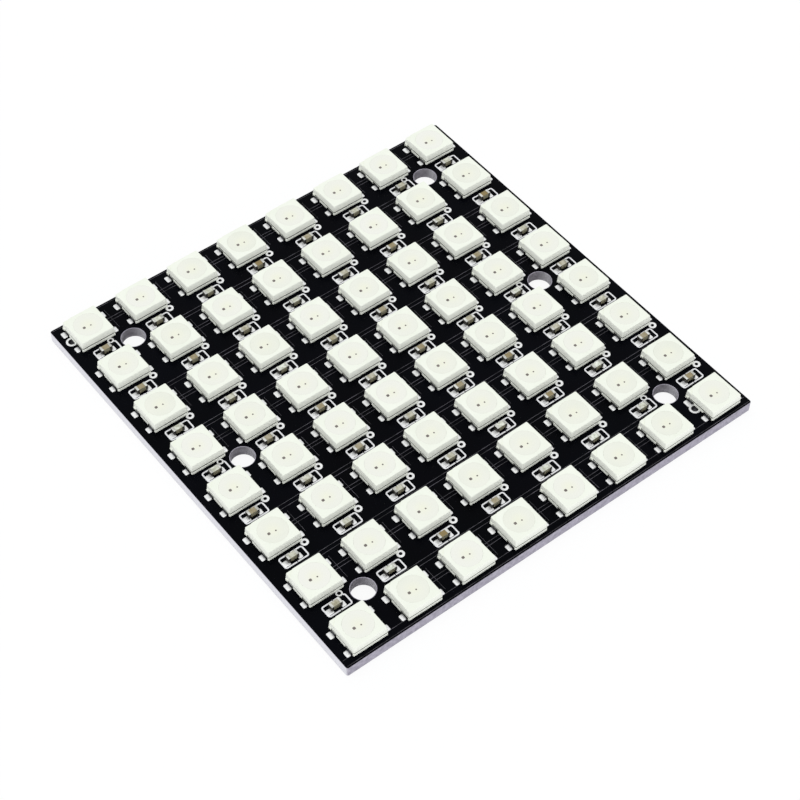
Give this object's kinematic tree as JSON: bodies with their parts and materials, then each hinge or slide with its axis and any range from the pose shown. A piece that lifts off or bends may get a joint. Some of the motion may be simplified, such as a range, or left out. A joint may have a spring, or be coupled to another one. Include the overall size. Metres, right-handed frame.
{
  "type": "led matrix panel",
  "caption": "Square black circuit board with a regular grid of white surface-mounted colour LEDs, chip capacitors and six screw holes.",
  "frame": {"origin": "under the middle of the board, on the face it lies on", "axes": "+X along a row of LEDs, +Y from the first row to the last, +Z out of the LED side"},
  "size_m": [0.065, 0.065, 0.0032],
  "materials": {
    "board_mask": "glossy black solder mask",
    "housing_plastic": "satin white moulding",
    "window_resin": "cloudy resin, slightly warm",
    "solder": "bright tin",
    "capacitor_ceramic": "matt brown",
    "capacitor_tin": "tinned ends"
  },
  "bodies": {
    "root": {"circuit_board": "board_mask", "back_pads_input": "solder", "back_pads_output": "solder", "wire_eyelet_last_row": "solder", "wire_eyelet_first_row": "solder", "led_housings_row_1": "housing_plastic", "led_windows_row_1": "window_resin", "led_terminals_row_1": "solder", "led_housings_row_2": "housing_plastic", "led_windows_row_2": "window_resin", "led_terminals_row_2": "solder", "led_housings_row_3": "housing_plastic", "led_windows_row_3": "window_resin", "led_terminals_row_3": "solder", "led_housings_row_4": "housing_plastic", "led_windows_row_4": "window_resin", "led_terminals_row_4": "solder", "led_housings_row_5": "housing_plastic", "led_windows_row_5": "window_resin", "led_terminals_row_5": "solder", "led_housings_row_6": "housing_plastic", "led_windows_row_6": "window_resin", "led_terminals_row_6": "solder", "led_housings_row_7": "housing_plastic", "led_windows_row_7": "window_resin", "led_terminals_row_7": "solder", "led_housings_row_8": "housing_plastic", "led_windows_row_8": "window_resin", "led_terminals_row_8": "solder", "capacitor_bodies_row_2": "capacitor_ceramic", "capacitor_ends_row_2": "capacitor_tin", "capacitor_bodies_row_3": "capacitor_ceramic", "capacitor_ends_row_3": "capacitor_tin", "capacitor_bodies_row_4": "capacitor_ceramic", "capacitor_ends_row_4": "capacitor_tin", "capacitor_bodies_row_5": "capacitor_ceramic", "capacitor_ends_row_5": "capacitor_tin", "capacitor_bodies_row_6": "capacitor_ceramic", "capacitor_ends_row_6": "capacitor_tin", "capacitor_bodies_row_7": "capacitor_ceramic", "capacitor_ends_row_7": "capacitor_tin", "capacitor_bodies_row_8": "capacitor_ceramic", "capacitor_ends_row_8": "capacitor_tin"}
  },
  "joints": []
}
